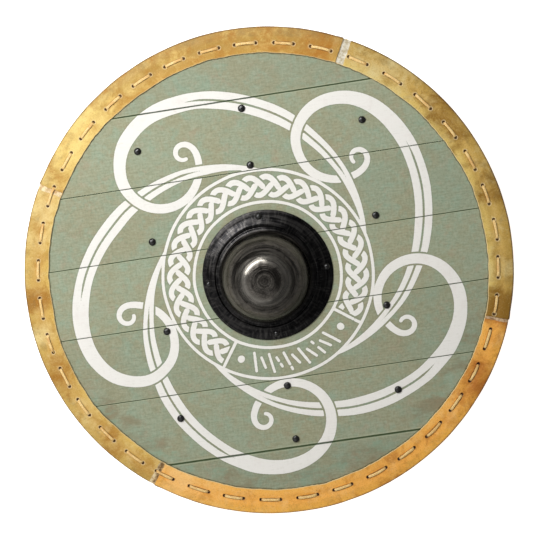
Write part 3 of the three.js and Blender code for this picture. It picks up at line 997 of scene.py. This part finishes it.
def lace_distance(radius, angle):
    """From each point to the nearest front run of the lace, along the leather's face."""
    starts, ends, lines = np.array(STITCHES).T
    middle = (starts + ends) / 2
    near = np.abs(degrees_apart(angle[..., None], middle)).argmin(-1)
    beyond = np.abs(degrees_apart(angle, middle[near])) - (ends - starts)[near] / 2
    along = np.radians(np.maximum(beyond, 0)) * radius
    return np.hypot(along, radius - lines[near])


def leather_tone(angle):
    """Above 0 where the hide is tanned darker, and below 0 where it is pale."""
    gap = degrees_apart(angle[..., None], np.array([tone[0] for tone in TONES]))
    reach, strength = np.array([tone[1:] for tone in TONES]).T
    return (strength * np.exp(-((gap / reach) ** 2))).sum(-1)


def add_rim_strip(number, material):
    """A strip folded over the board's edge, with its holes, its puffed face and its two ends."""
    ends = JOINTS[number - 1], JOINTS[number % len(JOINTS)]
    start, end = ends[0][0], ends[1][0]
    if end < start:
        end += 360
    tucked = [width if lower == number else 0 for _, lower, width in ends]
    first = start - (TUCK / DEGREE if tucked[0] else 0)
    last = end + (TUCK / DEGREE if tucked[1] else 0)
    angles, section = strip_angles(first, last), strip_section()
    angle = np.repeat(angles[None], len(section), axis=0)
    radius, z, share, cut = (np.repeat(column[:, None], len(angles), axis=1) for column in section.T)
    travel = np.linspace(0, 1, len(section))[:, None] * SECTION_WALK
    angle = ragged_ends(angle, travel, (first, last), tucked)
    from_start, from_end = (angle - first) * DEGREE, (last - angle) * DEGREE
    front = smooth(0.2, 0.6, share)  # the rows of both corners of the fold count as front too
    hole = hole_distance(radius, angle)
    inner_share = smooth(349, 340, radius) * smooth(14, 21, z)
    radius = radius + (rim_edge(angle) - SHIELD_RADIUS + RIM_FRONT_WIDTH) * inner_share
    relief = front_relief(radius, angle) * front - HOLE_DEPTH * smooth(2.6, 1.2, hole) * front
    relief += LIP_HEIGHT * np.exp(-(((hole - LIP_RADIUS) / LIP_WIDTH) ** 2)) * front
    relief += SINK_HEIGHT * np.exp(-((hole / SINK_RADIUS) ** 2)) * (share < -0.5)
    lift, pale, thin, under = lap(tucked, (from_start, from_end), front)
    z = z + relief + lift - thin * front + TUCK_DEPTH * under * (1 - front)
    torn = 3 + 7 * smooth(374, 344, radius) + 1.5 * ring_wave(angle + radius, 9, 45)
    frayed = pale * smooth(torn + 1, torn - 1, from_end - TUCK) * (number == FRAYED_STRIP) * front
    outward = smooth(374, 379.5, radius)
    radius = radius + outward * (0.5 * np.clip(lift, 0, 1) - 0.5 + 0.25 * ring_wave(angle, 25, 44))
    radius = np.minimum(radius, SHIELD_RADIUS) - TUCK_DEPTH * under * outward
    x, y = across_and_up(radius, angle)
    points = np.stack([x, y, z], -1).reshape(-1, 3)
    faces = ring_faces(np.arange(x.size).reshape(x.shape).T)
    attributes = {
        "hole_mm": np.where(np.abs(share) > 0.5, hole, FAR_AWAY),
        "lace_mm": np.where(share > 0.5, lace_distance(radius, angle), FAR_AWAY),
        "tone": leather_tone(angle),
        "frayed": frayed,
        "pale": pale * np.abs(np.sign(share)),
        "cut": cut,
    }
    node, slot = f"rim_strip_{number}", STRIP_SLOTS[number - 1]
    return make_piece(f"{node}_leather", [node], material, points, faces, attributes)


def ragged_ends(angle, travel, limits, tucked):
    """The strip's ends aren't cut quite straight."""
    for limit, side, width in zip(limits, (1, -1), tucked):
        near = smooth(RAGGED_REACH / DEGREE, 0, (angle - limit) * side)
        size = 1.6 if width > 10 else 0.7  # the end with the widest pale stretch is the roughest
        wobble = size * lumps(travel, limit, 9, 51) + 0.4 * size * lumps(travel, limit, 3, 52)
        angle = angle + near * wobble / DEGREE
    return angle


def lap(tucked, distances, front):
    """At its ends a strip climbs over the next one, or is pared thin and pale beneath it."""
    lift, pale, thin, under = (np.zeros_like(front) for _ in range(4))
    for width, distance in zip(tucked, distances):
        if width:
            shown = TUCK + width
            pale = np.maximum(pale, smooth(shown + 3, shown - 3, distance))
            thin = np.maximum(thin, PARING * smooth(shown + 2, shown - 6, distance))
            under = np.maximum(under, smooth(TUCK + 4, TUCK + 2, distance))
        else:
            lift = np.maximum(lift, CLIMB * smooth(13, 3, distance) * front)
    return lift, pale, thin, under


# The lace.

LACE_SIDES = 10
SWEEP_POWER = 0.75  # below 1, a strap's section is squarer than an ellipse
KNOT_DROP = 3.1  # from the back of the rim to the middle of the lace's knot
# The lace in front and behind: share of the way from hole to hole, and height over its level there.
LACE_ARCH = ((0, -2.6), (0.07, -0.7), (0.2, 0.1), (0.5, 0.35), (0.8, 0.1), (0.93, -0.7), (1, -2.6))
LACE_SAG = ((0, 2), (0.07, 0.4), (0.5, 0), (0.93, 0.4), (1, 2))


def squared_circle(sides, power):
    """Points round a circle, pushed out towards a square where power is below 1."""
    turn = np.linspace(0, 2 * math.pi, sides, endpoint=False)
    circle = np.stack([np.cos(turn), np.sin(turn)])
    return np.sign(circle) * np.abs(circle) ** power


def sweep(path, side, half_width, half_thickness, sides=LACE_SIDES):
    """A rounded strap along a path. Side is the direction of its width at each point."""
    ahead = np.gradient(path, axis=0)
    ahead /= np.linalg.norm(ahead, axis=1, keepdims=True)
    side = side - ahead * (side * ahead).sum(1, keepdims=True)
    side /= np.linalg.norm(side, axis=1, keepdims=True)
    up = np.cross(ahead, side)
    across, high = squared_circle(sides, SWEEP_POWER)
    across, high = np.atleast_2d(across * half_width), np.atleast_2d(high * half_thickness)
    points = path[:, None] + side[:, None] * across[..., None] + up[:, None] * high[..., None]
    return points.reshape(-1, 3), ring_faces(np.arange(len(path) * sides).reshape(-1, sides))


def lace_path(knot):
    """The lace's middle: a low arch in front, a bend down each hole, and a flat run behind."""
    front = RIM_FRONT + LACE_GAP + LACE_THICKNESS / 2
    back = RIM_BACK - LACE_GAP - LACE_THICKNESS / 2
    middle = (front + back) / 2
    points = [knot]
    for index, (hole_start, hole_end, radius) in enumerate(STITCHES):
        start, end = hole_start + PULL, hole_end - PULL
        slack = 0.5 * math.sin(2.9 * index)
        arch = [(share, front + rise) for share, rise in LACE_ARCH]
        for share, z in [(0, middle), *arch, (1, middle)]:
            out = radius + slack * math.sin(math.pi * share)
            points.append([*polar(out, start + (end - start) * share), z])
        if index + 1 < STITCH_COUNT:
            next_start, _, next_radius = STITCHES[index + 1]
            for share, rise in LACE_SAG:
                out = radius + (next_radius - radius) * share
                points.append([*polar(out, end + (next_start - end) * share), back + rise])
    points.append(knot)
    return smooth_curve(points, 4)


def add_lace(material):
    knot_angle = (STITCHES[0][0] + STITCHES[-1][1] - 360) / 2
    knot = np.array([*polar(STITCH_RADIUS, knot_angle), RIM_BACK - KNOT_DROP])
    path = lace_path(knot)
    inward = -path * [1, 1, 0]
    flutter = 1 + 0.1 * ring_wave(np.degrees(np.arctan2(path[:, 1], path[:, 0])), 5, 61)[:, None]
    points, faces = sweep(path, inward, LACE_WIDTH / 2 * flutter, LACE_THICKNESS / 2)
    for line, width in knot_lines(knot, knot_angle):
        more, extra = sweep(line, np.cross(np.gradient(line, axis=0), [0.1, 0.2, 1]), width, width * 0.75)
        points, faces = merged(points, faces, more, extra)
    return make_piece("lace_run", ["lacing"], material, points, faces)


def knot_lines(knot, degrees):
    """An overhand knot of the lace's two ends, and their tails."""
    turn = np.linspace(0, 2 * math.pi, 60)
    x = 2.1 * (np.sin(turn) + 1.6 * np.sin(2 * turn))
    y = 1.7 * (np.cos(turn) - 1.6 * np.cos(2 * turn))
    lines = [(np.stack([x, y, -1.1 * np.sin(3 * turn)], 1), 1.2)]
    for side in (-1, 1):
        tail = [[-2, 0, 0], [-8, side * 2.5, 0.5], [-14, side * 5, 0.2], [-19, side * 6, 0.4]]
        lines.append((smooth_curve(tail, 6), 1.3))
    cos, sin = across_and_up(1, degrees)
    spin = np.array([[cos, sin, 0], [-sin, cos, 0], [0, 0, 1]])
    return [(line @ spin + knot, width) for line, width in lines]


# The boss and the nails.

BOSS_COLUMNS = 216
BOSS_NAIL_SEAT = 27.5  # the height at which the heads of the boss's nails rest
NAIL_COLUMNS = 28
# How high the boss's outer face stands over its foot: at distances in from the flange's edge, in
# from the crease where the dome begins to rise, and out from the dome's wall.
FLANGE_RISES = (
    (0, -1.2),
    (0.15, -0.5),
    (0.8, 0),
    (5, 0.9),
    (9, 1.75),
    (13, 2.9),
    (17, 4.1),
    (20.4, 5.1),
    (22.6, 4.9),
)
CREASE_RISES = ((0, 3.2), (1.8, 3.4), (3.4, 4.3))
WALL_RISES = ((4.6, 5.4), (2, 7.6), (0.8, 11), (0.3, 17))
# How far the dome has dropped from its flat top at each radius.
DOME_DROPS = (
    (DOME_RADIUS, 47),
    (66.5, 43.5),
    (63.5, 35),
    (58, 25.5),
    (50, 16.6),
    (40, 8.3),
    (33, 3.9),
    (28, 2.0),
    (22, 0.9),
    (12, 0.3),
    (0, 0),
)


def boss_profile():
    """The boss's outer face from its edge to the top, as rows of (radius, z)."""
    low, high = corners("boss")
    foot, top = low[2] + IRON, high[2]
    edge = high[0]
    flange = [(edge - inward, foot + rise) for inward, rise in FLANGE_RISES]
    flange += [(CREASE_RADIUS - inward, foot + rise) for inward, rise in CREASE_RISES]
    flange += [(DOME_RADIUS + outward, foot + rise) for outward, rise in WALL_RISES]
    flange = smooth_curve([*flange, (DOME_RADIUS, low[2] + WALL_TOP)], 4)
    dome = smooth_curve([(radius, top - drop) for radius, drop in DOME_DROPS], 5)
    return np.vstack([flange[:-1], dome])


def inner_profile(outer):
    """The boss's inner face from its edge to the top, the iron's thickness in from the outer one."""
    along = np.gradient(outer, axis=0)
    along /= np.linalg.norm(along, axis=1, keepdims=True)
    inner = (outer + IRON * np.stack([-along[:, 1], along[:, 0]], 1))[4::3]
    inner[-1] = [0, outer[-1, 1] - IRON]
    return np.vstack([[outer[0, 0] - 0.3, outer[0, 1] - 0.8], inner])


def add_boss(material):
    """The boss turned from its profile, outside and inside, hammered outside, with its dome off centre."""
    outer = boss_profile()
    inner = inner_profile(outer)
    profile = np.vstack([outer[:-1], inner[-2::-1]])
    angle = np.linspace(0, 360, BOSS_COLUMNS, endpoint=False)
    radius, turn = np.meshgrid(profile[:, 0], angle, indexing="ij")
    x, y = across_and_up(radius, turn)
    z = np.repeat(profile[:, 1:], BOSS_COLUMNS, axis=1)
    edge, _, top = corners("boss")[1]
    hammered = 0.22 * lumps(x, y, 13, 71) + 0.1 * lumps(x, y, 6, 72)
    rings = 0.1 * lumps(radius, turn / 90, 3.2, 73)
    inside = len(outer) - 1  # the first row of the inner face
    outside = (np.arange(len(profile)) < inside)[:, None]
    dent = (hammered + rings) * outside * smooth(edge, edge - 4, radius)
    z = np.minimum(z + dent, top)
    share = 1 - smooth(CREASE_RADIUS, edge, radius)
    points = np.stack([x + DOME_SHIFT[0] * share, y + DOME_SHIFT[1] * share, z], -1).reshape(-1, 3)
    tips = np.array([[*DOME_SHIFT, outer[-1, 1]], [*DOME_SHIFT, inner[-1, 1]]])
    ring = np.arange(x.size).reshape(x.shape)
    faces = grid_faces(inside, BOSS_COLUMNS, closed=True)
    faces += grid_faces(len(ring) - inside, BOSS_COLUMNS, closed=True, first=inside * BOSS_COLUMNS)
    faces += wall(ring[0], ring[-1]) + fan(ring[inside - 1], ring.size) + fan(ring[inside], ring.size + 1)
    return make_piece("boss_shell", ["boss"], material, np.vstack([points, tips]), faces)


def nail_head(radius, height, seed):
    """A hammered dome: rows of (radius, z) turned round, a little out of true."""
    profile = [(radius * 0.96, 0), (radius, 0.35), (radius * 0.985, 0.9)]
    for angle in (14, 28, 42, 56, 70, 82):
        out, up = math.cos(math.radians(angle)), math.sin(math.radians(angle))
        profile.append((radius * 0.97 * out, 0.9 + (height - 0.9) * up))
    profile = np.array(profile)
    angle = np.linspace(0, 360, NAIL_COLUMNS, endpoint=False)
    out, turn = np.meshgrid(profile[:, 0], angle, indexing="ij")
    x, y = across_and_up(out * (1 + 0.035 * lumps(turn / 40, seed, 1, 81)), turn)
    z = np.repeat(profile[:, 1:], NAIL_COLUMNS, axis=1) + 0.14 * lumps(x + 50 * seed, y, 2.6, 82)
    points = np.vstack([np.stack([x, y, z], -1).reshape(-1, 3), [[0, 0, height], [0, 0, 0]]])
    ring = np.arange(x.size).reshape(x.shape)
    faces = grid_faces(len(ring), NAIL_COLUMNS, closed=True)
    return points, faces + fan(ring[-1], ring.size) + fan(ring[0], ring.size + 1)


def shank(path):
    """A square shank along a path of points, with softened corners."""
    path = smooth_curve(path, 4)
    side = np.repeat([[0.0, 1.0, 0.0]], len(path), axis=0)
    return sweep(path, side, NAIL_SHANK / 2, NAIL_SHANK / 2, sides=12)


def add_nail(node, index, material):
    """A nail in the place of its CAD node. Where that is longer one way, its tip is bent over."""
    low, high = corners(node)
    boss = node.startswith("boss")
    seat = BOSS_NAIL_SEAT if boss else BOARD_FRONT + 0.3
    radius = (high[1] - low[1]) / 2
    clenched = boss and high[0] - low[0] > 2 * radius + 1
    x, y = (low[:2] + high[:2]) / 2
    if clenched:
        x = high[0] - radius if x < 0 else low[0] + radius
    points, faces = nail_head(radius, high[2] - seat, index)
    points = points + [x, y, seat]
    tip = low[2]
    if clenched:
        out = math.copysign(1, x)
        bend = tip + NAIL_SHANK / 2 - 0.4
        path = [[x, y, seat + 1], [x, y, bend + 3], [x + out * 1.2, y, bend + 0.6]]
        path += [[x + out * 4, y, bend], [x + out * 10.5, y, bend]]
    else:
        path = [[x, y, seat + 1], [x, y, (seat + tip) / 2], [x, y, tip + 0.05]]
    more, extra = shank(path)
    more[:, 2] = np.maximum(more[:, 2], tip)
    points, faces = merged(points, faces, more, extra)
    return make_piece(node + "_forged", [node], material, points, faces)


# The handle and the battens.

RAIL_SIDES = 36


def add_rail(node, material, sections):
    """A wooden bar along Y.

    Sections are (y, x and z of the middle, half width, half thickness, squareness).
    """
    rings = []
    for y, x, z, half_width, half_thickness, squareness in smooth_curve(sections, 8):
        across, up = squared_circle(RAIL_SIDES, 2 / squareness)
        across, up, along = across * half_width, up * half_thickness, np.full(RAIL_SIDES, y)
        wear = 0.25 * lumps(across + x, along, 16, 91)
        rings.append(np.stack([x + across + wear, along, z + up], 1))
    points = np.clip(np.vstack(rings), *corners(node))
    faces = ring_faces(np.arange(len(points)).reshape(-1, RAIL_SIDES))
    return make_piece(node + "_shaped", [node], material, points, faces, crease=50)


def both_ways(side, middle=()):
    """Sections from one end of a bar to the other, mirrored from those of one half."""
    return [(-row[0], *row[1:]) for row in side] + list(middle) + side[::-1]


def handle_sections():
    high = corners("handle")[1]
    half = RAIL / 2
    grip_z = high[2] - GRIP_RADIUS
    side = [
        (high[1], 0, half, 12.5, half - 1.2, 4),
        (high[1] - 2.5, 0, half, 14.2, half, 7),
        (200, 0, half, 17.6, half, 8),
        (90, 0, half, 21, half, 8),
        (63, 0, half, 21.6, half, 7),
        (53, 0, half + 1.5, 17, half + 1.5, 4),
        (43, 0, half + 4.8, 13, half + 4.6, 2.6),
        (24, 0, grip_z - 0.2, GRIP_RADIUS - 0.7, GRIP_RADIUS - 0.7, 2.1),
    ]
    return both_ways(side, [(0, 0, grip_z, GRIP_RADIUS, GRIP_RADIUS, 2)])


def batten_sections(node):
    low, high = corners(node)
    x, half, half_width = (low[0] + high[0]) / 2, RAIL / 2, (high[0] - low[0]) / 2
    side = [
        (high[1], x, half, half_width * 0.55, half - 1.4, 4),
        (high[1] - 3, x, half, half_width * 0.68, half - 0.2, 6),
        (high[1] - 16, x, half, half_width * 0.97, half, 8),
        (high[1] - 26, x, half, half_width, half, 8),
        (90, x, half, half_width, half, 8),
    ]
    return both_ways(side)


# The room.

PHOTO_ROLL = 8.7  # degrees by which the planks rise to the right in the view
VIEW_DISTANCE = 1800
VIEW_LENS = 78.6
VIEW_LEAN = (1.5, 5.9)  # degrees that the camera stands off the axis, to the right and to the top
VIEW_SHIFT = (-0.0024, 0.0164)  # of the picture's width, to put the shield in its place
WORLD_STRENGTH = 0.16
FLOOR_REACH = 4  # metres
FLOOR_GAP = 0.2  # below the shield
FLOOR_WHITE = (250, 250, 250)


def view_axes():
    """The view's right and up, along the floor."""
    roll = math.radians(PHOTO_ROLL)
    right = Vector((math.cos(roll), -math.sin(roll), 0))
    up = Vector((math.sin(roll), math.cos(roll), 0))
    return right, up


def add_camera():
    right, up = view_axes()
    lean = [math.sin(math.radians(angle)) for angle in VIEW_LEAN]
    away = right * lean[0] + up * lean[1]
    away.z = math.sqrt(1 - lean[0] ** 2 - lean[1] ** 2)
    across = up.cross(away).normalized()
    matrix = Matrix((across, away.cross(across), away)).transposed().to_4x4()
    matrix.translation = Vector((0, 0, RIM_FRONT * MM)) + away * VIEW_DISTANCE * MM
    data = bpy.data.cameras.new("camera")
    data.lens = VIEW_LENS
    data.shift_x, data.shift_y = VIEW_SHIFT
    camera = bpy.data.objects.new("camera", data)
    camera.matrix_world = matrix
    bpy.context.scene.collection.objects.link(camera)
    bpy.context.scene.camera = camera


def add_light(name, bearing, height, distance, size, power):
    """A soft light aimed at the middle, in metres and watts.

    Bearing is its angle from the view's right, height its angle above the floor, and size (across, down).
    """
    right, up = view_axes()
    level = math.cos(math.radians(height)) * distance
    angle = math.radians(bearing)
    place = right * math.cos(angle) * level + up * math.sin(angle) * level
    place.z = math.sin(math.radians(height)) * distance
    data = bpy.data.lights.new(name, "AREA")
    data.shape = "RECTANGLE"
    data.size, data.size_y = size
    data.energy = power
    light = bpy.data.objects.new(name, data)
    light.location = place
    light.rotation_euler = place.to_track_quat("Z", "Y").to_euler()
    bpy.context.scene.collection.objects.link(light)


def add_floor():
    look = Look("floor")
    glow = {"Emission_Strength": 0.9, "Emission_Color": FLOOR_WHITE}
    material = look.finish(FLOOR_WHITE, 0.9, Specular_IOR_Level=0.1, **glow)
    mesh = bpy.data.meshes.new("floor")
    signs = ((-1, -1), (1, -1), (1, 1), (-1, 1))
    square = [(x * FLOOR_REACH, y * FLOOR_REACH, -FLOOR_GAP * MM) for x, y in signs]
    mesh.from_pydata(square, [], [(0, 1, 2, 3)])
    mesh.materials.append(material)
    floor = bpy.data.objects.new("floor", mesh)
    bpy.context.scene.collection.objects.link(floor)
    floor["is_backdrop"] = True


def add_world():
    world = bpy.data.worlds.new("studio")
    world.use_nodes = True
    background = world.node_tree.nodes["Background"]
    background.inputs["Color"].default_value = (1, 1, 1, 1)
    background.inputs["Strength"].default_value = WORLD_STRENGTH
    bpy.context.scene.world = world


def add_shield():
    board = board_look()
    for number in range(1, PLANK_COUNT + 1):
        for side in ("left", "right") if number == MIDDLE_PLANK else ("",):
            add_plank(number, side, board)
    rails = rail_look()
    add_rail("handle", rails, handle_sections())
    for node in ("batten_left", "batten_right"):
        add_rail(node, rails, batten_sections(node))
    for number, material in enumerate(leathers(), 1):
        add_rim_strip(number, material)
    add_lace(lace_look())
    add_boss(boss_look())
    nails = nail_look()
    for index in range(1, 5):
        add_nail(f"boss_nail_{index}", index, nails)
    for index in range(1, 13):
        add_nail(f"face_nail_{index}", index + 4, nails)


bpy.context.scene.view_settings.view_transform = "Standard"
add_camera()
add_world()
add_light("key", bearing=132, height=53, distance=1.5, size=(1.1, 0.4), power=19.6)
add_light("fill", bearing=-128, height=52, distance=2.0, size=(2.2, 2.2), power=11.5)
add_floor()
add_shield()

bounds = {"cad": cad_bounds, "visual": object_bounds()}
bounds = {name: [list(corner) for corner in box] for name, box in bounds.items()}
